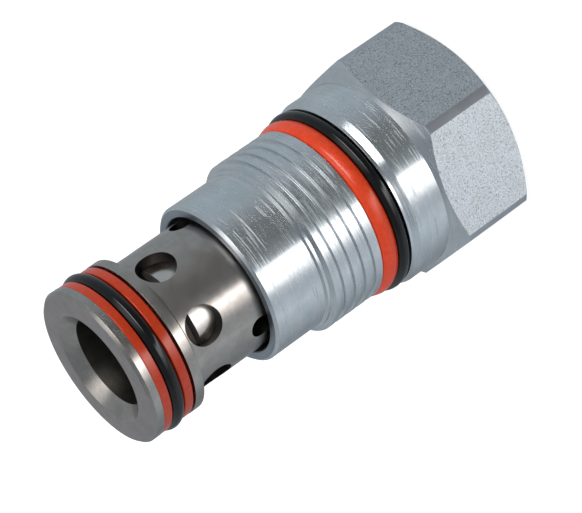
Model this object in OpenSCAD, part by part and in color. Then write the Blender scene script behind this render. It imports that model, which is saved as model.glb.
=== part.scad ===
// Screw-in cartridge check valve with a floating seat cage.
// Millimetres, nose up: the hex end face rests on z = 0 and the nose points along +Z.

/* [Overall] */
// Length from the hex end face to the nose face
overall_l = 79; // [78.5:0.5:81]
// How far the cage stands out of the body skirt
nose_out = 25.5; // [24.5:0.25:26]

/* [Hex Head] */
// Hex size across the flats
hex_af = 38; // [37:0.5:41]
// Corner-to-corner diameter as a multiple of the size across flats
corner_f = 1.13; // [1.11:0.005:1.14]
// Height from the hex end face to the flange
hex_h = 17.5; // [16.5:0.25:18.5]
// Slope of the turned cone under the hex, degrees from the flat
hex_slope = 29; // [25:1:35]
// Height of the turned chamfer at the hex end face
end_cham = 2; // [1.5:0.1:2.4]

/* [Flange] */
// How far the flange sits inside the flats
flange_inset = 0.8; // [0.5:0.1:1.2]
// Height of the flange up to the gland wall
flange_h = 8; // [7.5:0.25:8.5]
// Height of the cone at the top of the flange
flange_cone = 1; // [0.6:0.1:1.4]
// Height of the narrow rim above the cone
rim_h = 0.8; // [0.6:0.1:1]
// Rim step in from the flange on the radius
rim_step = 0.55; // [0.4:0.05:0.7]

/* [Body Gland] */
// Section diameter of the black body ring
body_cord = 2.4; // [2.2:0.02:2.6]
// Width of the orange body ring
body_backup_w = 3.1; // [2.8:0.1:3.3]
// Outer radius of the orange ring below the black ring
backup_drop = 0.5; // [0.3:0.05:0.7]
// Length of the rounded thread-side edge of the orange ring
backup_round = 1.1; // [0.9:0.1:1.3]

/* [Thread] */
// Major diameter of the parallel pipe-size thread
thread_d = 33.25; // [33:0.05:33.8]
// Thread pitch, eleven to the inch
thread_p = 2.309; // [2.1:0.001:2.45]
// Length of the threaded band
thread_l = 10.6; // [10.2:0.1:11]
// Height of the run-out land next to the gland
runout_h = 0.7; // [0.5:0.1:0.9]
// Height of the lead cone at the first turn
lead_h = 0.7; // [0.5:0.1:0.9]
// Height of the neck between skirt and thread
neck_h = 0.8; // [0.6:0.1:1]

/* [Skirt] */
// Skirt diameter
skirt_d = 30.3; // [30.1:0.05:30.35]
// Chamfer on the skirt rim
skirt_cham = 0.75; // [0.5:0.05:0.9]
// Depth of the relief inside the skirt mouth
mouth_h = 5; // [4:0.25:6]

/* [Cage] */
// Cage sleeve diameter
cage_d = 25; // [24.6:0.1:25.2]
// Nose land diameter
nose_d = 29.1; // [28.9:0.1:29.3]
// Nose length up to the sleeve
nose_l = 10.3; // [10:0.1:10.8]
// Chamfer on the nose rim
nose_cham = 0.5; // [0.3:0.05:0.6]
// Nose bore diameter
port_d = 16.5; // [15.8:0.1:17]
// Depth of the countersink at the nose
sink_h = 2.2; // [1.8:0.1:2.5]
// Countersink growth on the radius
sink_r = 1.95; // [1.5:0.05:2.1]
// Poppet bore diameter inside the cage
cage_bore = 20.6; // [20.2:0.1:20.8]
// Depth of the seat below the nose face
seat_z = 14.3; // [14:0.1:14.6]
// Axial float of the cage in the body
cage_float = 0.3; // [0.2:0.05:0.4]
// Turn of the cage about its own axis, degrees
cage_turn = 8.5; // [0:0.5:59.5]

/* [Side Holes] */
// Number of large flow holes
flow_n = 6; // [4:1:6]
// Diameter of the flow holes
flow_d = 6.9; // [6.4:0.1:7.1]
// Flow hole centre below the nose face
flow_z = 14.8; // [14.7:0.1:15.2]
// Number of small vent holes
vent_n = 3; // [2:1:6]
// Diameter of the vent holes
vent_d = 4; // [3.6:0.1:4.2]
// Vent hole centre below the nose face
vent_z = 24.5; // [24:0.1:25]
// Turn of the vent holes from the flow holes, degrees
vent_turn = 28.5; // [25:0.5:30]

/* [Nose Seals] */
// Front wall of the seal groove below the nose face
groove_z = 1.9; // [1.8:0.05:2.2]
// Section diameter of the black nose ring
nose_cord = 2.62; // [2.5:0.02:2.7]
// Width of each flat orange ring
nose_backup_w = 1.75; // [1.6:0.05:1.8]
// Free gap left in the seal groove
groove_gap = 0.45; // [0.3:0.05:0.5]
// How far the black nose ring stands above the land
nose_stand = 0.48; // [0.3:0.02:0.55]
// How far the flat orange rings sit below the land
backup_sink = 0.05; // [0.02:0.01:0.1]

/* [Poppet] */
// Free lift of the poppet
lift = 5; // [4:0.25:5.5]
// Half angle of the poppet cone and seat
cone_a = 30; // [28:1:32]
// Running gap between poppet and cage on the radius
poppet_gap = 0.05; // [0.03:0.01:0.08]
// Gap left between cone and seat, square to the cone
seat_gap = 0.06; // [0.04:0.01:0.1]
// Spring pocket diameter
pocket_d = 14.6; // [14.4:0.1:15]
// Poppet waist depth on the radius
waist_r = 1.2; // [0.9:0.1:1.3]
// Diameter of the cross holes in the waist
cross_d = 2.5; // [2:0.1:3]
// Number of cross holes
cross_n = 4; // [2:1:6]
// Length of the cone tip past the seat
tip_l = 1.4; // [1.2:0.1:1.5]
// Depth of the dish in the cone tip
tip_sink = 1.2; // [0.9:0.1:1.3]
// Distance from the pocket floor to the foot of the cone
pocket_web = 3.4; // [3.1:0.1:3.6]
// Length of the waist
waist_h = 6.8; // [6.4:0.1:7]

/* [Spring] */
// Spring wire diameter
wire_d = 1.6; // [1.4:0.05:1.7]
// Turns between the closed ends
spring_turns = 7; // [5:0.5:8]
// Gap between spring and pocket on the radius
spring_gap = 0.35; // [0.25:0.05:0.5]
// Thickness of the spring shim
shim_h = 1; // [0.5:0.1:1.5]

/* [Retaining Ring] */
// Wire diameter of the cage retaining ring
ring_wire = 1.6; // [1.4:0.05:1.7]
// Opening of the retaining ring, degrees
ring_open = 20; // [10:1:40]
// Depth of the retaining ring below the skirt mouth
ring_in = 8; // [7.5:0.25:8.5]
// Distance from the retaining ring to the cage shoulder in the body
ring_up = 8; // [7.5:0.25:8.5]

/* [Hidden] */
$fn = 96;
eps = 0.01;
over = 1;
steel_col = [0.62, 0.65, 0.69];
cage_col = [0.38, 0.37, 0.36];
poppet_col = [0.7, 0.7, 0.71];
spring_col = [0.5, 0.5, 0.52];
rubber_col = [0.05, 0.05, 0.06];
orange_col = [0.82, 0.26, 0.1];

// heights along the axis
flange_top = hex_h + flange_h;
gland_w = body_cord + body_backup_w;
gland_top = flange_top + gland_w;
thread_top = gland_top + thread_l;
lead_top = thread_top + lead_h;
neck_top = lead_top + neck_h;
skirt_top = overall_l - nose_out;
nose_end = overall_l - nose_l;
seat_h = overall_l - seat_z;

// head radii
hex_r = hex_af / 2;
corner_r = hex_r * corner_f;
flange_r = hex_r - flange_inset;
rim_r = flange_r - rim_step;
end_r = corner_r - end_cham / tan(33);
cone_drop = (corner_r - flange_r) * tan(hex_slope);

// thread and gland radii
thread_r = thread_d / 2;
thread_depth = 0.62 * thread_p;
root_r = thread_r - thread_depth;
crest_w = thread_p / 6;
flank_w = thread_p / 3;
turn_n = floor((thread_l - runout_h) / thread_p);
ridge_start = gland_top + runout_h;
land_r = thread_r - 0.3;
skirt_r = min(skirt_d / 2, root_r - 0.02);
neck_r = root_r + 0.5;
lead_r = thread_r - 0.5;
gland_r = rim_r + 0.15 - body_cord;
body_cord_r = gland_r + body_cord / 2;
body_backup_r = gland_r + body_cord - backup_drop;

// cage radii
cage_r = cage_d / 2;
nose_r = nose_d / 2;
port_r = port_d / 2;
chamber_r = cage_bore / 2;
ledge_r = chamber_r - 0.7;
seat_w = 0.6;
groove_r = nose_r + nose_stand - nose_cord;
groove_w = 2 * nose_backup_w + nose_cord + groove_gap;
groove_top = overall_l - groove_z;
groove_low = groove_top - groove_w;

// body cavity
guide_gap = 0.08;
guide_r = cage_r + guide_gap;
mouth_r = cage_r + 0.7;
ring_z = skirt_top - ring_in;
ring_r = cage_r + 0.1;
ring_seat = 0.05;
body_groove_r = ring_r + ring_wire / 2 + ring_seat;
body_groove_w = ring_wire + 0.1;
cage_groove_r = ring_r - ring_wire / 2 - 0.1;
cage_groove_w = ring_wire + 2 * cage_float;
shoulder_z = ring_z - ring_up;
cage_low = shoulder_z + cage_float;

// poppet
poppet_r = chamber_r - poppet_gap;
poppet_low = shoulder_z + lift + 0.05;
cone_k = tan(cone_a);
cone_off = seat_gap / cos(cone_a);
seat_low = seat_h + seat_w;
seat_chamber = port_r + seat_w * cone_k;
tip_h = seat_low + tip_l;
tip_r = port_r - cone_off - tip_l * cone_k;
cone_h = (poppet_r - tip_r) / cone_k;
shank_h = tip_h - cone_h;
pocket_r = pocket_d / 2;
pocket_top = shank_h - pocket_web;
waist_top = pocket_top - 0.4;
waist_z = waist_top - waist_h;
cross_z = waist_top - waist_h / 2;
tip_bore = 3;

// spring
spring_bore_r = pocket_r + 0.4;
bore_low = flange_top + 1;
shim_top = bore_low + shim_h;
spring_r = pocket_r - spring_gap - wire_d / 2;
spring_low = shim_top;
spring_len = pocket_top - spring_low;
wire_n = 8;
coil_step = 24;
end_turns = 1.25;
coil_n = ceil((spring_turns + 2 * end_turns) * coil_step);
end_rise = wire_d + 0.1;
wire_start = spring_low + 0.25 * wire_d;
wire_rise = spring_len - 0.5 * wire_d;
free_rise = (wire_rise - 2 * end_turns * end_rise) / spring_turns;

// one thread ridge as points of the turned profile, from its low side upward
function ridge(z0) = [
    [root_r, z0 + (thread_p - crest_w - 2 * flank_w) / 2],
    [thread_r, z0 + (thread_p - crest_w) / 2],
    [thread_r, z0 + (thread_p + crest_w) / 2],
    [root_r, z0 + (thread_p + crest_w + 2 * flank_w) / 2]
];

module head_hex() {
    intersection() {
        rotate([0, 0, 30])
            linear_extrude(height = hex_h)
                circle(r = hex_r / cos(30), $fn = 6);
        rotate_extrude()
            polygon([[0, 0], [end_r, 0], [corner_r, end_cham], [corner_r, hex_h - cone_drop],
                [flange_r, hex_h], [0, hex_h]]);
    }
}

module body_turned() {
    rotate_extrude()
        polygon(concat(
            [[0, hex_h - over], [flange_r, hex_h - over],
                [flange_r, flange_top - rim_h - flange_cone],
                [rim_r, flange_top - rim_h], [rim_r, flange_top], [gland_r, flange_top],
                [gland_r, gland_top], [land_r, gland_top], [land_r, gland_top + runout_h * 0.6],
                [root_r, ridge_start]],
            [for (i = [0 : turn_n - 1]) each ridge(ridge_start + i * thread_p)],
            [[root_r, thread_top], [lead_r, thread_top], [neck_r, lead_top],
                [neck_r, neck_top - 0.1], [skirt_r, neck_top],
                [skirt_r, skirt_top - skirt_cham], [skirt_r - skirt_cham, skirt_top],
                [0, skirt_top]]));
}

module body_cavity() {
    rotate_extrude()
        polygon([[0, bore_low], [spring_bore_r, bore_low], [spring_bore_r, shoulder_z],
            [guide_r, shoulder_z], [guide_r, ring_z - body_groove_w / 2],
            [body_groove_r, ring_z - body_groove_w / 2],
            [body_groove_r, ring_z + body_groove_w / 2], [guide_r, ring_z + body_groove_w / 2],
            [guide_r, skirt_top - mouth_h - 0.6], [mouth_r, skirt_top - mouth_h],
            [mouth_r, skirt_top + over], [0, skirt_top + over]]);
}

module plug_body() {
    color(steel_col)
        difference() {
            union() {
                head_hex();
                body_turned();
            }
            body_cavity();
        }
}

module body_backup_ring() {
    low = gland_top - body_backup_w;
    color(orange_col)
        rotate_extrude()
            polygon([[gland_r, low], [body_backup_r - 0.6, low],
                [body_backup_r - 0.15, low + 0.25], [body_backup_r, low + 0.7],
                [body_backup_r, gland_top - backup_round], [body_backup_r - 0.25, gland_top - 0.4],
                [body_backup_r - 0.8, gland_top], [gland_r, gland_top]]);
}

module body_o_ring() {
    color(rubber_col)
        translate([0, 0, flange_top + body_cord / 2])
            rotate_extrude()
                translate([body_cord_r, 0])
                    circle(d = body_cord, $fn = 48);
}

module cage_retaining_ring() {
    color(spring_col)
        translate([0, 0, ring_z])
            rotate([0, 0, ring_open / 2])
                rotate_extrude(angle = 360 - ring_open)
                    translate([ring_r, 0])
                        circle(d = ring_wire, $fn = 32);
}

module spring_shim() {
    color(spring_col)
        translate([0, 0, bore_low])
            difference() {
                cylinder(r = spring_bore_r - 0.15, h = shim_h);
                translate([0, 0, -over])
                    cylinder(r = pocket_r / 2, h = shim_h + 2 * over);
            }
}

module cage_turned() {
    rotate_extrude()
        polygon([[port_r, overall_l - sink_h], [port_r + sink_r, overall_l],
            [nose_r - nose_cham, overall_l], [nose_r, overall_l - nose_cham],
            [nose_r, groove_top], [groove_r, groove_top], [groove_r, groove_low],
            [nose_r, groove_low], [nose_r, nose_end + 0.15], [nose_r - 0.15, nose_end],
            [cage_r, nose_end], [cage_r, ring_z + cage_groove_w / 2],
            [cage_groove_r, ring_z + cage_groove_w / 2],
            [cage_groove_r, ring_z - cage_groove_w / 2], [cage_r, ring_z - cage_groove_w / 2],
            [cage_r, cage_low + 0.5], [cage_r - 0.5, cage_low], [chamber_r, cage_low],
            [chamber_r, seat_h], [seat_chamber, seat_h], [port_r, seat_low]]);
}

module cage() {
    color(cage_col)
        difference() {
            cage_turned();
            for (i = [0 : flow_n - 1])
                rotate([0, 0, cage_turn + i * 360 / flow_n])
                    translate([ledge_r, 0, overall_l - flow_z])
                        rotate([0, 90, 0])
                            cylinder(d = flow_d, h = nose_r);
            for (i = [0 : vent_n - 1])
                rotate([0, 0, cage_turn + 60 + vent_turn + i * 360 / vent_n])
                    translate([chamber_r - over, 0, overall_l - vent_z])
                        rotate([0, 90, 0])
                            cylinder(d = vent_d, h = nose_r);
        }
}

module flat_ring(z0) {
    color(orange_col)
        translate([0, 0, z0])
            difference() {
                cylinder(r = nose_r - backup_sink, h = nose_backup_w);
                translate([0, 0, -over])
                    cylinder(r = groove_r, h = nose_backup_w + 2 * over);
            }
}

module nose_backup_front() {
    flat_ring(groove_top - nose_backup_w);
}

module nose_backup_rear() {
    flat_ring(groove_top - 2 * nose_backup_w - nose_cord);
}

module nose_o_ring() {
    color(rubber_col)
        translate([0, 0, groove_top - nose_backup_w - nose_cord / 2])
            rotate_extrude()
                translate([groove_r + nose_cord / 2, 0])
                    circle(d = nose_cord, $fn = 48);
}

module poppet() {
    color(poppet_col)
        difference() {
            rotate_extrude()
                polygon([[0, tip_h - tip_sink], [tip_bore, tip_h - tip_sink], [tip_bore + 0.6, tip_h],
                    [tip_r, tip_h], [poppet_r, shank_h], [poppet_r, waist_top],
                    [poppet_r - waist_r, waist_top], [poppet_r - waist_r, waist_z],
                    [poppet_r, waist_z], [poppet_r, poppet_low + 0.5],
                    [poppet_r - 0.5, poppet_low], [pocket_r, poppet_low],
                    [pocket_r, pocket_top], [0, pocket_top]]);
            for (i = [0 : cross_n - 1])
                rotate([0, 0, i * 360 / cross_n])
                    translate([pocket_r - over, 0, cross_z])
                        rotate([0, 90, 0])
                            cylinder(d = cross_d, h = poppet_r, $fn = 48);
        }
}

// height of the wire centre after t turns
function coil_z(t) = wire_start + (t < end_turns ? t * end_rise
    : t < end_turns + spring_turns ? end_turns * end_rise + (t - end_turns) * free_rise
    : wire_rise - (2 * end_turns + spring_turns - t) * end_rise);

function coil_pt(i, j) = let (t = i / coil_step, a = t * 360, b = j * 360 / wire_n)
    [(spring_r + wire_d / 2 * cos(b)) * cos(a), (spring_r + wire_d / 2 * cos(b)) * sin(a),
        coil_z(t) + wire_d / 2 * sin(b)];

module poppet_spring() {
    turns = coil_n;
    pts = [for (i = [0 : turns]) for (j = [0 : wire_n - 1]) coil_pt(i, j)];
    sides = [for (i = [0 : turns - 1]) for (j = [0 : wire_n - 1])
        [i * wire_n + j, i * wire_n + (j + 1) % wire_n,
            (i + 1) * wire_n + (j + 1) % wire_n, (i + 1) * wire_n + j]];
    first = [for (j = [0 : wire_n - 1]) wire_n - 1 - j];
    last = [for (j = [0 : wire_n - 1]) turns * wire_n + j];
    color(spring_col)
        intersection() {
            polyhedron(points = pts, faces = concat(sides, [first, last]), convexity = 20);
            translate([0, 0, spring_low])
                cylinder(r = pocket_r, h = spring_len);
        }
}

plug_body();
body_backup_ring();
body_o_ring();
cage_retaining_ring();
spring_shim();
cage();
nose_backup_front();
nose_o_ring();
nose_backup_rear();
poppet();
poppet_spring();
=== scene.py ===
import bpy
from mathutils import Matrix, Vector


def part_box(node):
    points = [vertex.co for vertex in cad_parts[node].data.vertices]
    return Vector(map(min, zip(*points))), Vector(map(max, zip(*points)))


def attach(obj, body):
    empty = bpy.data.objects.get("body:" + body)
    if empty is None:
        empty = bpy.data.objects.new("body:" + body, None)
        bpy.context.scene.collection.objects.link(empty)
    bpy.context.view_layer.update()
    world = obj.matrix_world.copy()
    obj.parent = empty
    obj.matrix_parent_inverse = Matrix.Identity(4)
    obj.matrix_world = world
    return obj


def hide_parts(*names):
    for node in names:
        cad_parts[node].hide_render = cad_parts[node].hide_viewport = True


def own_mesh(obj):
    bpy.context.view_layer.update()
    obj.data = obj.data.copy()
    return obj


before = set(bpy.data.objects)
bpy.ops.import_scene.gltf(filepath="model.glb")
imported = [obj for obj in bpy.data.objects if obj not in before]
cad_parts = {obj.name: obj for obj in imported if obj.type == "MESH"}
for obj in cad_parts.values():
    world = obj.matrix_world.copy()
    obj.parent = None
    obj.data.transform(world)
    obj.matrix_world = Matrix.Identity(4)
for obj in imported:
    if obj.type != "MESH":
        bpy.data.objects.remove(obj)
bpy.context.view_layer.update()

from math import atan2, cos, degrees, hypot, pi, radians, sin, tan

import bpy
from mathutils import Quaternion, Vector


# Camera: a long lens looking down on the nose, rolled so that the valve lies
# across the view with its nose at the lower left.
MM = 0.001
eye = Vector((-16.35, -382.10, 212.21)) * MM
aim = Vector((-3.20, 0.11, 39.38)) * MM
roll = radians(-125.34)
bpy.ops.object.select_all(action="DESELECT")
bpy.ops.object.camera_add(location=eye)
camera = bpy.context.object
camera.name = "camera"
camera.data.sensor_width = 36
camera.data.lens = 153.9
camera.data.clip_start = 0.01
camera.data.clip_end = 30
camera.rotation_mode = "QUATERNION"
camera.rotation_quaternion = (aim - eye).to_track_quat("-Z", "Y") @ Quaternion((0, 0, 1), roll)
bpy.context.scene.camera = camera


# Body: turned from hexagon bar, bored for the cage and the spring, threaded by
# rolling, then zinc plated all over to a bright bluish finish.
WELD = 0.002 * MM


def rounded(corners):
    """Outline of (radius, height) points in mm; a corner with a third number gets that fillet."""
    steps = 3
    most_of_side = 0.49
    line = []
    for i, corner in enumerate(corners):
        if len(corner) == 2:
            line.append(corner)
            continue
        here = Vector(corner[:2])
        to_last = Vector(corners[i - 1][:2]) - here
        to_next = Vector(corners[(i + 1) % len(corners)][:2]) - here
        half = to_last.angle(to_next) / 2
        shorter = min(to_last.length, to_next.length)
        reach = min(corner[2] / tan(half), most_of_side * shorter)
        start = here + to_last.normalized() * reach
        end = here + to_next.normalized() * reach
        for k in range(steps + 1):
            t = k / steps
            point = start * (1 - t) ** 2 + here * 2 * t * (1 - t) + end * t**2
            line.append((point.x, point.y))
    return line


def wire(name, outline):
    """A closed outline of (radius, height) points in mm as a line of edges, left in edit mode."""
    bpy.ops.object.select_all(action="DESELECT")
    bpy.ops.mesh.primitive_plane_add(size=MM)
    piece = bpy.context.object
    piece.name = name
    bpy.ops.object.mode_set(mode="EDIT")
    bpy.ops.mesh.select_mode(type="VERT")
    bpy.ops.mesh.select_all(action="SELECT")
    bpy.ops.mesh.merge(type="CENTER")
    r, z = outline[0]
    bpy.ops.transform.translate(value=(r * MM, 0, z * MM))
    for (r0, z0), (r1, z1) in zip(outline, outline[1:] + outline[:1]):
        if r0 == 0 and r1 == 0:
            continue
        bpy.ops.mesh.extrude_region_move(
            TRANSFORM_OT_translate={"value": ((r1 - r0) * MM, 0, (z1 - z0) * MM)}
        )
    bpy.ops.mesh.select_all(action="SELECT")
    return piece


def turned(name, outline, steps):
    """A closed outline of (radius, height) points in mm, spun once around the valve's axis."""
    piece = wire(name, outline)
    bpy.ops.mesh.spin(steps=steps, angle=2 * pi, center=(0, 0, 0), axis=(0, 0, 1))
    bpy.ops.mesh.select_all(action="SELECT")
    bpy.ops.mesh.remove_doubles(threshold=WELD)
    bpy.ops.mesh.normals_make_consistent(inside=False)
    bpy.ops.object.mode_set(mode="OBJECT")
    return piece


def cut(piece, cutter):
    """Takes the cutter's shape out of the piece, and removes the cutter."""
    bpy.context.view_layer.objects.active = piece
    modifier = piece.modifiers.new("cut", "BOOLEAN")
    modifier.operation = "DIFFERENCE"
    modifier.solver = "EXACT"
    modifier.object = cutter
    bpy.ops.object.modifier_apply(modifier=modifier.name)
    bpy.data.objects.remove(cutter)


# the hex and the flange
low, high = (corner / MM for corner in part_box("plug_body"))
skirt_top = high.z
hex_r = high.x
corner_r = -low.y
hex_h = 17.5
end_r = corner_r - 3.08
end_chamfer = 2
flange_r = hex_r - 0.8
flange_top = hex_h + 8
cone_drop = (corner_r - flange_r) * tan(radians(29))
rim_r = flange_r - 0.55
rim_h = 0.5
rim_cone = 1.25

# the seal gland, the thread, the neck and the skirt
gland_r = rim_r - 2.25
gland_top = flange_top + 5.5
thread_r = 16.625
thread_chamfer = 0.2
thread_top = gland_top + 10.6
lead_low = thread_top + 0.1
neck_r = 15.69
neck_low = thread_top + 0.5
neck_top = thread_top + 1.05
skirt_r = 15.15
skirt_low = thread_top + 1.3
skirt_chamfer = 0.5

# the bores, from the mouth down: relief, cage guide with its ring groove, spring
mouth_r = 13.2
mouth_low = skirt_top - 5
mouth_cone = 0.6
lip_w = 0.15
lip_h = 0.2
guide_r = 12.58
ring_z = skirt_top - 8
ring_groove_r = 13.45
ring_groove = 0.85
shoulder_z = ring_z - 8
bore_r = 7.7
bore_low = flange_top + 1
body = turned(
    "body",
    rounded(
        [
            (0, 0),
            (end_r, 0, 0.15),
            (corner_r, end_chamfer, 0.3),
            (corner_r, hex_h - cone_drop, 0.08),
            (flange_r, hex_h, 0.06),
            (flange_r, flange_top - rim_h - rim_cone, 0.06),
            (rim_r, flange_top - rim_h, 0.05),
            (rim_r, flange_top, 0.08),
            (gland_r, flange_top, 0.2),
            (gland_r, gland_top, 0.2),
            (thread_r - thread_chamfer, gland_top, 0.05),
            (thread_r, gland_top + thread_chamfer, 0.08),
            (thread_r, lead_low, 0.08),
            (neck_r, neck_low, 0.05),
            (neck_r, neck_top, 0.05),
            (skirt_r, skirt_low, 0.06),
            (skirt_r, skirt_top - skirt_chamfer, 0.06),
            (skirt_r - skirt_chamfer, skirt_top, 0.06),
            (mouth_r + lip_w, skirt_top, 0.05),
            (mouth_r, skirt_top - lip_h),
            (mouth_r, mouth_low),
            (guide_r, mouth_low - mouth_cone),
            (guide_r, ring_z + ring_groove),
            (ring_groove_r, ring_z + ring_groove),
            (ring_groove_r, ring_z - ring_groove),
            (guide_r, ring_z - ring_groove),
            (guide_r, shoulder_z),
            (bore_r, shoulder_z),
            (bore_r, bore_low),
            (0, bore_low),
        ]
    ),
    steps=240,
)

# the six flats: all that lies outside a hexagon is milled off, from below the
# end face to above the hex
mill_low = -2
mill_top = 20
bpy.ops.object.select_all(action="DESELECT")
bpy.ops.mesh.primitive_cylinder_add(
    vertices=6,
    radius=hex_r / cos(radians(30)) * MM,
    depth=(mill_top - mill_low) * MM,
    end_fill_type="NOTHING",
    location=(0, 0, (mill_low + mill_top) / 2 * MM),
)
sleeve = bpy.context.object
bpy.ops.object.transform_apply(location=True, rotation=True, scale=True)
wall = sleeve.modifiers.new("wall", "SOLIDIFY")
wall.thickness = 6 * MM
wall.offset = 1
bpy.ops.object.modifier_apply(modifier=wall.name)
cut(body, sleeve)

# the thread groove: one section wound up the blank; half of it is listed, from
# the open side to the floor, as (out from the crest, off its middle) in mm
pitch = 2.309
groove_low = gland_top + 0.9
turns = 4.6
depth = 0.42
flank = [(0.3, 0.64), (0, 0.64), (-0.05, 0.58), (0.05 - depth, 0.46), (-depth, 0.38)]
section = [(r, -z) for r, z in flank] + [(r, z) for r, z in reversed(flank)]
groove = wire("thread_groove", [(thread_r + r, groove_low + z) for r, z in section])
bpy.ops.mesh.remove_doubles(threshold=WELD)
bpy.ops.object.mode_set(mode="OBJECT")
winding = groove.modifiers.new("winding", "SCREW")
winding.angle = turns * 2 * pi
winding.screw_offset = turns * pitch * MM
winding.iterations = 1
winding.steps = int(turns * 96)
winding.render_steps = winding.steps
winding.use_merge_vertices = False
bpy.ops.object.modifier_apply(modifier=winding.name)
bpy.ops.object.mode_set(mode="EDIT")
bpy.ops.mesh.select_mode(type="EDGE")
bpy.ops.mesh.select_all(action="DESELECT")
bpy.ops.mesh.select_non_manifold()
bpy.ops.mesh.edge_face_add()
bpy.ops.mesh.select_all(action="SELECT")
bpy.ops.mesh.normals_make_consistent(inside=False)
bpy.ops.object.mode_set(mode="OBJECT")
cut(body, groove)


def smooth(piece, angle):
    """Shades the piece smooth across edges flatter than `angle` degrees."""
    bpy.ops.object.select_all(action="DESELECT")
    piece.select_set(True)
    bpy.context.view_layer.objects.active = piece
    bpy.ops.object.shade_smooth_by_angle(angle=radians(angle))


smooth(body, 18)


def colour(value):
    """sRGB hex value as the linear colour that a shader takes."""
    channels = [int(value[i : i + 2], 16) / 255 for i in (1, 3, 5)]
    return [c / 12.92 if c <= 0.04045 else ((c + 0.055) / 1.055) ** 2.4 for c in channels] + [1]


def add(owner, kind, inputs=None, **settings):
    """Adds a shader node with its settings. An input is a value, an output to link, or a node,
    which links by its first output in use."""
    node = owner.node_tree.nodes.new(kind)
    for name, value in settings.items():
        setattr(node, name, value)
    for name, value in (inputs or {}).items():
        if isinstance(value, bpy.types.Node):
            value = next(output for output in value.outputs if output.enabled)
        if isinstance(value, bpy.types.NodeSocket):
            owner.node_tree.links.new(value, node.inputs[name])
        else:
            node.inputs[name].default_value = value
    return node


def blank(name):
    """An empty material ready for its nodes."""
    material = bpy.data.materials.new(name)
    material.use_nodes = True
    material.node_tree.nodes.clear()
    return material


def around(material, stretch):
    """Object coordinates in which a pattern is drawn out `stretch` times round the valve's axis."""
    place = add(material, "ShaderNodeTexCoord").outputs["Object"]
    slow = add(
        material,
        "ShaderNodeVectorMath",
        {0: place, 1: (1 / stretch, 1 / stretch, 1)},
        operation="MULTIPLY",
    )
    flat = add(material, "ShaderNodeVectorMath", {0: place, 1: (1, 1, 0)}, operation="MULTIPLY")
    radius = add(material, "ShaderNodeVectorMath", {0: flat}, operation="LENGTH")
    out = add(material, "ShaderNodeCombineXYZ", {"X": radius.outputs["Value"]})
    return add(material, "ShaderNodeVectorMath", {0: slow, 1: out}, operation="ADD")


def stained(material, pattern, low, high):
    """A colour that drifts from one hex value to another as the pattern does."""
    blend = add(material, "ShaderNodeMapRange", {"Value": pattern, "From Min": 0.35, "From Max": 0.65})
    return add(
        material,
        "ShaderNodeMix",
        {"Factor": blend, "A": colour(low), "B": colour(high)},
        data_type="RGBA",
    )


# Zinc plate on turned steel: a bright, slightly bluish metal. Fine tool marks
# run round it, with short matt scratches that show pale where the rest is dark.
# Real marks are 0.05 to 0.1 mm apart; these are drawn coarser so that they show.
def zinc_plate(name, tint, deep, shine, scratched):
    """Zinc over tool marks `deep` mm high; `scratched` is how matt the scratches are, 0 to 1."""
    mark = 0.26
    dash = 0.28
    patch = 1.1
    stain = 4
    material = blank(name)
    marks = add(
        material,
        "ShaderNodeTexNoise",
        {"Vector": around(material, 40), "Scale": 1 / (mark * MM), "Detail": 0},
    )
    dashes = add(
        material,
        "ShaderNodeTexNoise",
        {"Vector": around(material, 60), "Scale": 1 / (dash * MM), "Detail": 0},
    )
    dashes = add(
        material,
        "ShaderNodeMapRange",
        {"Value": dashes, "From Min": 0.52, "From Max": 0.68, "To Max": scratched},
    )
    patches = add(
        material,
        "ShaderNodeTexNoise",
        {"Vector": around(material, 3), "Scale": 1 / (patch * MM), "Detail": 0},
    )
    patches = add(material, "ShaderNodeMapRange", {"Value": patches, "From Min": 0.4, "From Max": 0.62})
    scratches = add(material, "ShaderNodeMath", {0: dashes, 1: patches}, operation="MULTIPLY")
    sheen = add(
        material,
        "ShaderNodeMapRange",
        {
            "Value": marks,
            "From Min": 0.3,
            "From Max": 0.7,
            "To Min": shine - 0.04,
            "To Max": shine + 0.05,
        },
    )
    cloud = add(
        material,
        "ShaderNodeTexNoise",
        {
            "Vector": add(material, "ShaderNodeTexCoord").outputs["Object"],
            "Scale": 1 / (stain * MM),
            "Detail": 4,
            "Roughness": 0.6,
        },
    )
    raised = add(material, "ShaderNodeMapRange", {"Value": marks, "From Min": 0.3, "From Max": 1.0})
    tone = add(
        material,
        "ShaderNodeMix",
        {"Factor": raised, "A": stained(material, cloud, *tint), "B": colour(tint[0])},
        data_type="RGBA",
    )
    relief = add(material, "ShaderNodeBump", {"Height": marks, "Distance": deep * MM, "Strength": 1.0})
    shader = add(
        material,
        "ShaderNodeBsdfPrincipled",
        {
            "Base Color": tone,
            "Metallic": 1.0,
            "Roughness": add(material, "ShaderNodeMath", {0: scratches, 1: sheen}, operation="ADD"),
            "Anisotropic": 0.6,
            "Anisotropic Rotation": 0.25,
            "Normal": relief,
            "Tangent": add(material, "ShaderNodeTangent", direction_type="RADIAL", axis="Z"),
        },
    )
    add(material, "ShaderNodeOutputMaterial", {"Surface": shader})
    return material


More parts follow.
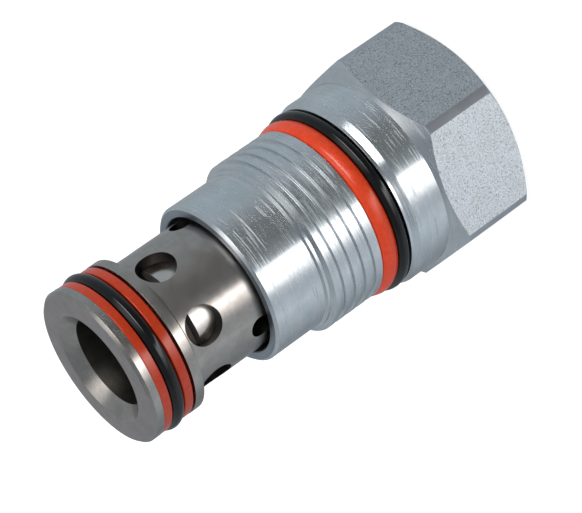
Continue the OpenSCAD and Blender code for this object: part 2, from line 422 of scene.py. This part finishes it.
# Zinc plate on the drawn flats: the bar's grained skin shows as dark pits, with bright
# specks painted in as highlights. The grains are drawn about 0.2 mm across so that they show.
drawn = blank("zinc_plated_drawn_steel")
grain_size = 0.2
pit_size = 0.26
stain_size = 5
place = add(drawn, "ShaderNodeTexCoord").outputs["Object"]
grain = add(
    drawn,
    "ShaderNodeTexNoise",
    {"Vector": place, "Scale": 1 / (grain_size * MM), "Detail": 2, "Roughness": 0.6},
)
pits = add(
    drawn,
    "ShaderNodeTexNoise",
    {"Vector": place, "Scale": 1 / (pit_size * MM), "Detail": 2, "Roughness": 0.6},
)
pits = add(drawn, "ShaderNodeMapRange", {"Value": pits, "From Min": 0.53, "From Max": 0.7})
cloud = add(
    drawn,
    "ShaderNodeTexNoise",
    {"Vector": place, "Scale": 1 / (stain_size * MM), "Detail": 3, "Roughness": 0.6},
)
# painted highlights: a paler colour where the grain is high
painted_glints = add(drawn, "ShaderNodeMapRange", {"Value": grain, "From Min": 0.42, "From Max": 0.66})
skin = add(
    drawn,
    "ShaderNodeMix",
    {"Factor": painted_glints, "A": stained(drawn, cloud, "#bac0c0", "#c3c6cb"), "B": colour("#e6e9ec")},
    data_type="RGBA",
)
skin = add(
    drawn,
    "ShaderNodeMix",
    {"Factor": pits, "A": skin, "B": colour("#6c7278")},
    data_type="RGBA",
)
height = add(drawn, "ShaderNodeMath", {0: pits, 1: -0.3, 2: grain}, operation="MULTIPLY_ADD")
relief = add(drawn, "ShaderNodeBump", {"Height": height, "Distance": 0.04 * MM, "Strength": 1.0})
shader = add(
    drawn,
    "ShaderNodeBsdfPrincipled",
    {"Base Color": skin, "Metallic": 1.0, "Roughness": 0.3, "Normal": relief},
)
add(drawn, "ShaderNodeOutputMaterial", {"Surface": shader})

# Zinc plate on the bar's turned corners: an even grey, with no marks to see on
# strips this narrow.
strips = blank("zinc_plated_bar_corner")
cloud = add(
    strips,
    "ShaderNodeTexNoise",
    {
        "Vector": add(strips, "ShaderNodeTexCoord").outputs["Object"],
        "Scale": 1 / (stain_size * MM),
        "Detail": 2,
        "Roughness": 0.6,
    },
)
shader = add(
    strips,
    "ShaderNodeBsdfPrincipled",
    {
        "Base Color": stained(strips, cloud, "#b2b5bb", "#bfc2c8"),
        "Metallic": 1.0,
        "Roughness": 0.32,
    },
)
add(strips, "ShaderNodeOutputMaterial", {"Surface": shader})

# The finely turned faces are the brightest. The rolled thread has deeper marks
# and a softer shine. The mouth's lip and bore, faced with a coarse tool, are matt,
# and their darker tint is painted shade.
bright = ("#c8ced1", "#dadcdf")
# a darker tint of the same plate, painted shade for the mouth's lip and bore
mouth_painted_shade = ("#949aa2", "#a0a6ae")
fine = zinc_plate("zinc_plated_turned_steel", bright, deep=0.004, shine=0.19, scratched=0.3)
rolled = zinc_plate("zinc_plated_rolled_thread", bright, deep=0.012, shine=0.26, scratched=0.2)
faced = zinc_plate("zinc_plated_faced_mouth_painted_shade", mouth_painted_shade, deep=0.01, shine=0.36, scratched=0.1)
finishes = [fine, drawn, rolled, faced, strips]
for finish in finishes:
    body.data.materials.append(finish)
for face in body.data.polygons:
    middle = face.center / MM
    reach = hypot(middle.x, middle.y)
    lean = degrees(atan2(face.normal.y, face.normal.x)) % 60
    upright = abs(face.normal.z) < 0.01 and middle.z < hex_h
    if upright and middle.z > end_chamfer - 0.1 and reach > corner_r - 0.05:
        face.material_index = finishes.index(strips)
    elif upright and min(lean, 60 - lean) < 1:
        face.material_index = finishes.index(drawn)
    elif gland_top < middle.z < thread_top and reach > neck_r + 0.2:
        face.material_index = finishes.index(rolled)
    elif middle.z > ring_z and reach < skirt_r - 0.45:
        face.material_index = finishes.index(faced)
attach(body, "plug")
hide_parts("plug_body")


# Body seals: a black rubber ring against the flange and an orange backup ring
# on its thread side, stretched into the gland.
def moulded(name, low, high, shine, size, ior):
    """Moulded seal material: two close tones, an even sheen and a faint skin `size` mm coarse."""
    material = blank(name)
    skin = add(
        material,
        "ShaderNodeTexNoise",
        {
            "Vector": add(material, "ShaderNodeTexCoord").outputs["Object"],
            "Scale": 1 / (size * MM),
            "Detail": 4,
            "Roughness": 0.6,
        },
    )
    relief = add(material, "ShaderNodeBump", {"Height": skin, "Distance": 0.012 * MM, "Strength": 1.0})
    shader = add(
        material,
        "ShaderNodeBsdfPrincipled",
        {
            "Base Color": stained(material, skin, low, high),
            "Roughness": shine,
            "IOR": ior,
            "Normal": relief,
        },
    )
    add(material, "ShaderNodeOutputMaterial", {"Surface": shader})
    return material


# Nitrile rubber: near black and oily, so the lights draw thin lines on it.
nitrile = moulded("black_nitrile_rubber", "#050505", "#0c0c0c", shine=0.07, size=1.2, ior=1.42)
# Polyurethane: a clear orange red with a soft moulded sheen.
urethane = moulded("orange_polyurethane", "#e84012", "#f24a1c", shine=0.19, size=1.0, ior=1.47)


def ring(name, corners, material, rider, node):
    """A turned or moulded ring that stands for its CAD node."""
    piece = turned(name, rounded(corners), steps=160)
    piece.data.materials.append(material)
    smooth(piece, 40)
    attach(piece, rider)
    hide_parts(node)


def cord_section(low, high):
    """The round section of a ring that fills the box from low to high, as outline corners in mm."""
    count = 28
    r = (high.z - low.z) / 2
    centre = (low.z + high.z) / 2
    angles = [2 * pi * i / count for i in range(count)]
    return [(high.x - r + r * cos(angle), centre + r * sin(angle)) for angle in angles]


low, high = (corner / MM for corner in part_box("body_o_ring"))
ring("body_seal", cord_section(low, high), nitrile, "plug", "body_o_ring")
low, high = (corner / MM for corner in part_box("body_backup_ring"))

# the backup ring's outer face is full and round, and falls away to the thread
ring(
    "body_backup",
    [
        (gland_r, low.z),
        (high.x - 0.35, low.z, 0.3),
        (high.x, (low.z + high.z) / 2 - 0.35, 1.2),
        (high.x - 0.55, high.z - 0.1, 0.9),
        (gland_r, high.z),
    ],
    urethane,
    "plug",
    "body_backup_ring",
)


# Cage: the long sleeve with the nose, turned from hardened steel, bored for
# the poppet and cross drilled with six flow holes and three small vents.
low, high = (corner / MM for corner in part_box("cage"))
cage_low = low.z
nose_top = high.z
nose_r = high.x
nose_low = nose_top - 10.3
nose_chamfer = 0.5
sink_low = nose_top - 2.2
sink_r = 1.95
port_r = 8.25
groove_r = 12.41
groove_top = nose_top - 1.9
groove_bottom = groove_top - 6.57
cage_r = 12.5
scribe_z = nose_top - 11.15
scribe = 0.1
scribe_depth = 0.07
cage_groove_r = 11.7
cage_groove = 1.1
chamber_r = 10.3
seat_z = nose_top - 13.5
seat_edge_w = 0.35
seat_edge_h = 0.2
cage = turned(
    "cage_sleeve",
    rounded(
        [
            (port_r, sink_low, 0.08),
            (port_r + sink_r, nose_top, 0.08),
            (nose_r - nose_chamfer, nose_top, 0.08),
            (nose_r, nose_top - nose_chamfer, 0.08),
            (nose_r, groove_top, 0.06),
            (groove_r, groove_top, 0.1),
            (groove_r, groove_bottom, 0.1),
            (nose_r, groove_bottom, 0.06),
            (nose_r, nose_low, 0.1),
            (cage_r, nose_low, 0.15),
            (cage_r, scribe_z + scribe),
            (cage_r - scribe_depth, scribe_z),
            (cage_r, scribe_z - scribe),
            (cage_r, ring_z + cage_groove),
            (cage_groove_r, ring_z + cage_groove),
            (cage_groove_r, ring_z - cage_groove),
            (cage_r, ring_z - cage_groove),
            (cage_r, cage_low, 0.4),
            (chamber_r, cage_low, 0.1),
            (chamber_r, seat_z, 0.1),
            (port_r + seat_edge_w, seat_z, 0.05),
            (port_r, seat_z + seat_edge_h, 0.05),
        ]
    ),
    steps=240,
)


def drill(piece, count, first, height, size, middle, travel, sides):
    """Drills a ring of holes into the piece: the first hole's turn in degrees, then its height and
    size in mm, and how far from the axis the middle of the drill's travel is."""
    drills = []
    bpy.ops.object.select_all(action="DESELECT")
    for i in range(count):
        at = radians(first + 360 / count * i)
        bpy.ops.mesh.primitive_cylinder_add(
            vertices=sides,
            radius=size / 2 * MM,
            depth=travel * MM,
            location=(middle * cos(at) * MM, middle * sin(at) * MM, height * MM),
            rotation=(0, pi / 2, at),
        )
        drills.append(bpy.context.object)
    for each in drills:
        each.select_set(True)
    bpy.ops.object.join()
    bpy.ops.object.transform_apply(location=True, rotation=True, scale=True)
    cut(piece, bpy.context.object)


cage_turn = 8.5
vent_turn = cage_turn + 88.5
flow_z = nose_top - 14.8
vent_z = nose_top - 24.5
drill(cage, 6, cage_turn, flow_z, size=6.9, middle=12.6, travel=6, sides=64)
drill(cage, 3, vent_turn, vent_z, size=4, middle=12.6, travel=6, sides=64)
smooth(cage, 20)


def machined(name, low, high, size, deep, shine, drawn_out=0.5):
    """Bare machined steel in two tones of stain, with marks `deep` mm high and `size` mm apart."""
    stain = 2.5
    material = blank(name)
    marks = add(
        material,
        "ShaderNodeTexNoise",
        {"Vector": around(material, 30), "Scale": 1 / (size * MM), "Detail": 3, "Roughness": 0.6},
    )
    cloud = add(
        material,
        "ShaderNodeTexNoise",
        {
            "Vector": add(material, "ShaderNodeTexCoord").outputs["Object"],
            "Scale": 1 / (stain * MM),
            "Detail": 5,
            "Roughness": 0.6,
        },
    )
    sheen = add(
        material,
        "ShaderNodeMapRange",
        {
            "Value": marks,
            "From Min": 0.3,
            "From Max": 0.7,
            "To Min": shine - 0.025,
            "To Max": shine + 0.025,
        },
    )
    relief = add(material, "ShaderNodeBump", {"Height": marks, "Distance": deep * MM, "Strength": 1.0})
    shader = add(
        material,
        "ShaderNodeBsdfPrincipled",
        {
            "Base Color": stained(material, cloud, low, high),
            "Metallic": 1.0,
            "Roughness": sheen,
            "Anisotropic": drawn_out,
            "Anisotropic Rotation": 0.25,
            "Normal": relief,
            "Tangent": add(material, "ShaderNodeTangent", direction_type="RADIAL", axis="Z"),
        },
    )
    add(material, "ShaderNodeOutputMaterial", {"Surface": shader})
    return material


# Hardened steel: ground outside to a satin, darker and warmer than the plate;
# faced coarser at the nose; and rougher in the bores and holes, whose dark tints
# are painted shade.
# Its marks are drawn coarser than the real ones too.
ground = machined("hardened_ground_steel", "#a09a95", "#ada8a3", size=0.35, deep=0.002, shine=0.24)
faced = machined("hardened_faced_steel", "#a09896", "#aca4a1", size=0.3, deep=0.01, shine=0.4, drawn_out=0)
# painted shade: the holes and the inner bores get a near black tint
drilled = machined("hardened_drilled_steel_painted_shade", "#2f2c29", "#3e3a36", size=0.4, deep=0.012, shine=0.42)
# painted shade: the nose bore gets a dark tint
bored = machined("hardened_bored_steel_painted_shade", "#57544f", "#66635d", size=0.4, deep=0.01, shine=0.42)
finishes = [ground, faced, drilled, bored]
for finish in finishes:
    cage.data.materials.append(finish)
for face in cage.data.polygons:
    middle = face.center / MM
    reach = hypot(middle.x, middle.y)
    if face.normal.z > 0.95 and middle.z > nose_top - 0.1:
        face.material_index = finishes.index(faced)
    elif middle.z < sink_low + 0.1 and reach < port_r + 0.1:
        face.material_index = finishes.index(bored)
    elif middle.z < sink_low - 0.1 and reach < groove_r - 0.25:
        face.material_index = finishes.index(drilled)
    elif middle.z < groove_bottom - 2 and reach < cage_r - 0.08 and abs(middle.z - scribe_z) > 0.2:
        face.material_index = finishes.index(drilled)
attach(cage, "cage_set")
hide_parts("cage")


# Nose seals: a round black ring between two flat orange backup rings, snapped
# into the groove behind the nose.
# Filled PTFE: a browner orange than the body ring, with the same soft sheen.
ptfe = moulded("orange_filled_ptfe", "#c23404", "#cc3b0a", shine=0.17, size=0.9, ior=1.52)
for node in ("nose_backup_front", "nose_backup_rear"):
    low, high = (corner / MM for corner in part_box(node))
    flat_section = [
        (groove_r, low.z),
        (high.x, low.z, 0.22),
        (high.x, high.z, 0.22),
        (groove_r, high.z),
    ]
    ring(node + "_ring", flat_section, ptfe, "cage_set", node)
low, high = (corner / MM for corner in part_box("nose_o_ring"))
ring("nose_seal", cord_section(low, high), nitrile, "cage_set", "nose_o_ring")


# Poppet: a hollow piston turned and ground from hardened steel. Its cone shuts
# against the seat edge, and four cross holes in its waist feed the spring side.
low, high = (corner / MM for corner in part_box("poppet"))
poppet_r = high.x
poppet_low = low.z
poppet_chamfer = 0.5
pocket_r = 7.3
pocket_top = 58.3
waist_r = poppet_r - 1.2
waist_top = pocket_top - 0.4
waist_low = waist_top - 6.8
cone_foot = seat_z - 0.75
cone_slope = 0.53
tip_z = seat_z + 0.65
tip_r = poppet_r - (tip_z - cone_foot) / cone_slope
dish_z = tip_z - 1
dish_r = 3
dish_rim_r = 3.6
poppet = turned(
    "poppet_piston",
    rounded(
        [
            (0, dish_z),
            (dish_r, dish_z, 0.1),
            (dish_rim_r, tip_z, 0.1),
            (tip_r, tip_z, 0.1),
            (poppet_r, cone_foot, 0.12),
            (poppet_r, waist_top, 0.15),
            (waist_r, waist_top, 0.2),
            (waist_r, waist_low, 0.2),
            (poppet_r, waist_low, 0.15),
            (poppet_r, poppet_low + poppet_chamfer, 0.1),
            (poppet_r - poppet_chamfer, poppet_low, 0.1),
            (pocket_r, poppet_low, 0.1),
            (pocket_r, pocket_top, 0.3),
            (0, pocket_top),
        ]
    ),
    steps=160,
)
cross_z = (waist_top + waist_low) / 2
drill(poppet, 4, 0, cross_z, size=2.5, middle=8.3, travel=5, sides=48)
smooth(poppet, 20)

# Ground steel: the brightest of the bare steels. The cone is lapped to its seat,
# which leaves it matt and dark, with no direction in its marks.
ground = machined("ground_poppet_steel", "#c6c0ba", "#d2cdc8", size=0.3, deep=0.003, shine=0.25)
lapped = machined("lapped_cone_steel", "#77726e", "#86817c", size=0.5, deep=0.003, shine=0.7, drawn_out=0)
finishes = [ground, lapped]
for finish in finishes:
    poppet.data.materials.append(finish)
for face in poppet.data.polygons:
    if face.normal.z > 0.3 and face.center.z > (cone_foot - 0.1) * MM:
        face.material_index = finishes.index(lapped)
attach(poppet, "poppet")
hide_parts("poppet")


# Poppet spring: seven free turns of drawn music wire with closed ends, ground
# flat where it stands on the shim and in the poppet's pocket.
low, high = (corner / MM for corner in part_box("poppet_spring"))
wire_d = 1.6
spring_gap = 0.35
coil_r = pocket_r - spring_gap - wire_d / 2
end_turns = 1.25
free_turns = 7
all_turns = free_turns + 2 * end_turns
end_rise = wire_d + 0.1
coil_low = low.z + wire_d / 4
coil_rise = high.z - low.z - wire_d / 2
free_rise = (coil_rise - 2 * end_turns * end_rise) / free_turns
bpy.ops.object.select_all(action="DESELECT")
bpy.ops.curve.primitive_nurbs_path_add()
coil = bpy.context.object
coil.name = "poppet_coil_spring"
line = coil.data.splines[0]
steps = int(all_turns * 32)
line.points.add(steps + 1 - len(line.points))
line.use_endpoint_u = True
line.resolution_u = 1
for i, point in enumerate(line.points):
    turn = all_turns * i / steps
    rise = min(turn, end_turns) * end_rise
    rise += min(max(turn - end_turns, 0), free_turns) * free_rise
    rise += max(turn - end_turns - free_turns, 0) * end_rise
    point.co = (
        coil_r * cos(2 * pi * turn) * MM,
        coil_r * sin(2 * pi * turn) * MM,
        (coil_low + rise) * MM,
        1,
    )
coil.data.bevel_depth = wire_d / 2 * MM
coil.data.bevel_resolution = 3
coil.data.use_fill_caps = True
bpy.ops.object.convert(target="MESH")
bpy.ops.object.mode_set(mode="EDIT")
for end, side in ((low.z, -1), (high.z, 1)):
    bpy.ops.mesh.select_all(action="SELECT")
    bpy.ops.mesh.bisect(
        plane_co=(0, 0, end * MM),
        plane_no=(0, 0, side),
        use_fill=True,
        clear_outer=True,
    )
bpy.ops.mesh.select_all(action="SELECT")
bpy.ops.mesh.remove_doubles(threshold=WELD / 2)
bpy.ops.mesh.normals_make_consistent(inside=False)
bpy.ops.object.mode_set(mode="OBJECT")
smooth(coil, 40)

# Music wire: drawn smooth, blue grey and lightly oiled.
music_wire = machined("drawn_music_wire", "#8d9196", "#a3a7ab", size=0.3, deep=0.002, shine=0.25)
coil.data.materials.append(music_wire)
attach(coil, "plug")
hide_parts("poppet_spring")
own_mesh(coil)


# Spring shim and cage retaining ring: a ground washer under the spring, and a
# split ring of round wire that snaps the cage into the body.
# Ground steel: pale and even, with a satin shine.
ground = machined("ground_shim_steel", "#b4b5b6", "#c2c3c4", size=0.3, deep=0.004, shine=0.28)
for node, steel in (("spring_shim", ground), ("cage_retaining_ring", music_wire)):
    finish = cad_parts[node].data.materials
    finish.clear()
    finish.append(steel)


# Studio: a pale paper floor, one soft lamp, and around them the softboxes and
# grey cards that bright metal mirrors. The floor keeps the valve's shadow.
bpy.ops.object.select_all(action="DESELECT")
bpy.ops.mesh.primitive_plane_add(size=8)
floor = bpy.context.object
floor.name = "floor"
paper = blank("white_paper")
ray = add(paper, "ShaderNodeLightPath").outputs
seen = add(
    paper,
    "ShaderNodeMath",
    {0: ray["Is Camera Ray"], 1: ray["Is Transmission Ray"]},
    operation="MAXIMUM",
)
shader = add(
    paper,
    "ShaderNodeBsdfPrincipled",
    {
        "Base Color": colour("#c4c4c4"),
        "Roughness": 0.9,
        "Emission Color": (1, 1, 1, 1),
        "Emission Strength": add(paper, "ShaderNodeMath", {0: seen, 1: 0.72}, operation="MULTIPLY"),
    },
)
add(paper, "ShaderNodeOutputMaterial", {"Surface": shader})
floor.data.materials.append(paper)
floor.visible_glossy = False  # metal mirrors the cards below, not the paper

# What the metal mirrors, by direction, as seen from the camera's side with the
# valve standing nose up: cards in a ring, and a big softbox overhead on the right.
world = bpy.data.worlds.new("studio")
bpy.context.scene.world = world
world.use_nodes = True
world.node_tree.nodes.clear()
world.cycles.sampling_method = "NONE"  # the cards are mirrored only, and never used as lamps
facing = add(
    world,
    "ShaderNodeVectorRotate",
    {
        "Vector": add(world, "ShaderNodeTexCoord").outputs["Generated"],
        "Angle": -atan2(eye.y, eye.x),
    },
    rotation_type="Z_AXIS",
)
axes = add(world, "ShaderNodeSeparateXYZ", {"Vector": facing})
ahead, right, up = (axes.outputs[axis] for axis in "XYZ")

# the ring of cards: the turn of the face that mirrors a card, in degrees to the
# left, and the card's light; a mirrored ray turns about twice as far as the face
doubling = 1.97
cards = [
    (-88, (0.36, 0.40, 0.42)),
    (-72, (0.40, 0.44, 0.47)),
    (-54, (0.46, 0.53, 0.58)),
    (-36, (0.43, 0.48, 0.52)),
    (-26, (0.31, 0.34, 0.36)),
    (-17, (0.20, 0.215, 0.22)),
    (-5, (0.20, 0.21, 0.215)),
    (2, (0.26, 0.28, 0.29)),
    (7, (0.42, 0.44, 0.46)),
    (10.3, (3.8, 3.8, 3.8)),
    (14, (3.8, 3.8, 3.8)),
    (18, (2.1, 2.1, 2.1)),
    (21, (1.6, 1.6, 1.6)),
    (25.5, (0.64, 0.68, 0.72)),
    (31, (0.53, 0.58, 0.63)),
    (42, (0.70, 0.76, 0.82)),
    (50, (0.56, 0.62, 0.67)),
    (58, (0.42, 0.47, 0.51)),
    (72, (0.28, 0.31, 0.34)),
    (88, (0.28, 0.31, 0.34)),
]
card_stops = sorted((0.5 - doubling * turn / 360, light) for turn, light in cards)

# the big softbox: its light by height, with one hot tube low in it
levels = [
    (0.18, 1.2),
    (0.21, 11.0),
    (0.29, 11.0),
    (0.32, 0.9),
    (0.42, 0.9),
    (0.5, 1.8),
    (0.8, 1.8),
    (0.92, 1.2),
]
level_stops = [(height, (level, level, level)) for height, level in levels]
ring_turn = add(world, "ShaderNodeTexGradient", {"Vector": facing}, gradient_type="RADIAL")
card_ring = add(world, "ShaderNodeValToRGB", {"Fac": ring_turn.outputs["Fac"]})
tubes = add(world, "ShaderNodeValToRGB", {"Fac": up})
for ramp, stops in ((card_ring, card_stops), (tubes, level_stops)):
    elements = ramp.color_ramp.elements
    for end in (0, -1):
        elements[end].position = stops[end][0]
        elements[end].color = (*stops[end][1], 1)
    for place, light in stops[1:-1]:
        elements.new(place).color = (*light, 1)

# the softbox starts just right of the camera and ends at the far right; the walls
# past its ends are grey, and a little darker in front than at the far sides
edge = add(world, "ShaderNodeMath", {0: ahead, 1: -0.65, 2: right}, operation="MULTIPLY_ADD")
tilt = add(world, "ShaderNodeMath", {0: ahead, 1: 0.9, 2: right}, operation="MULTIPLY_ADD")
far_right = add(world, "ShaderNodeMapRange", {"Value": edge, "From Min": 0.26, "From Max": 0.62})
box_start = add(world, "ShaderNodeMapRange", {"Value": right, "From Min": 0.06, "From Max": 0.36})
box_end = add(world, "ShaderNodeMath", {0: 1.0, 1: far_right}, operation="SUBTRACT")
softbox = add(world, "ShaderNodeMath", {0: box_start, 1: box_end}, operation="MULTIPLY")
in_front = add(world, "ShaderNodeMapRange", {"Value": tilt, "From Min": -0.75, "From Max": -0.5})
raised = add(world, "ShaderNodeMapRange", {"Value": up, "From Min": -0.05, "From Max": 0.25})
walls = add(
    world,
    "ShaderNodeMix",
    {"Factor": in_front, "A": colour("#aeb5bb"), "B": colour("#969da3")},
    data_type="RGBA",
)
walls = add(
    world,
    "ShaderNodeMix",
    {"Factor": far_right, "A": walls, "B": colour("#aeb5bb")},
    data_type="RGBA",
)
above = add(world, "ShaderNodeMix", {"Factor": softbox, "A": walls, "B": tubes}, data_type="RGBA")
mirrored = add(
    world,
    "ShaderNodeMix",
    {"Factor": raised, "A": card_ring, "B": above},
    data_type="RGBA",
)

# the metal mirrors all that, diffuse light is an even grey, and the camera sees white
ray = add(world, "ShaderNodeLightPath").outputs
seen = add(
    world,
    "ShaderNodeMath",
    {0: ray["Is Camera Ray"], 1: ray["Is Transmission Ray"]},
    operation="MAXIMUM",
)
sky = add(
    world,
    "ShaderNodeMix",
    {"Factor": ray["Is Glossy Ray"], "A": (0.70, 0.71, 0.73, 1), "B": mirrored},
    data_type="RGBA",
)
sky = add(world, "ShaderNodeMix", {"Factor": seen, "A": sky, "B": (1, 1, 1, 1)}, data_type="RGBA")
background = add(world, "ShaderNodeBackground", {"Color": sky, "Strength": 1.0})
add(world, "ShaderNodeOutputWorld", {"Surface": background})

# the one lamp: high over the right front, 0.9 m from the middle of the valve
to_lamp = Vector((0.37, -0.41, 0.83))
valve_middle = Vector((0, 0, 0.04))
bpy.ops.object.light_add(type="AREA", location=to_lamp * 0.9 + valve_middle)
lamp = bpy.context.object
lamp.name = "key_lamp"
lamp.data.shape = "RECTANGLE"
lamp.data.size = 0.95
lamp.data.size_y = 0.5
lamp.data.energy = 2.6
lamp.visible_glossy = False
lamp.rotation_mode = "QUATERNION"
lamp.rotation_quaternion = (-to_lamp).to_track_quat("-Z", "Y")

bpy.context.scene.view_settings.view_transform = "Standard"
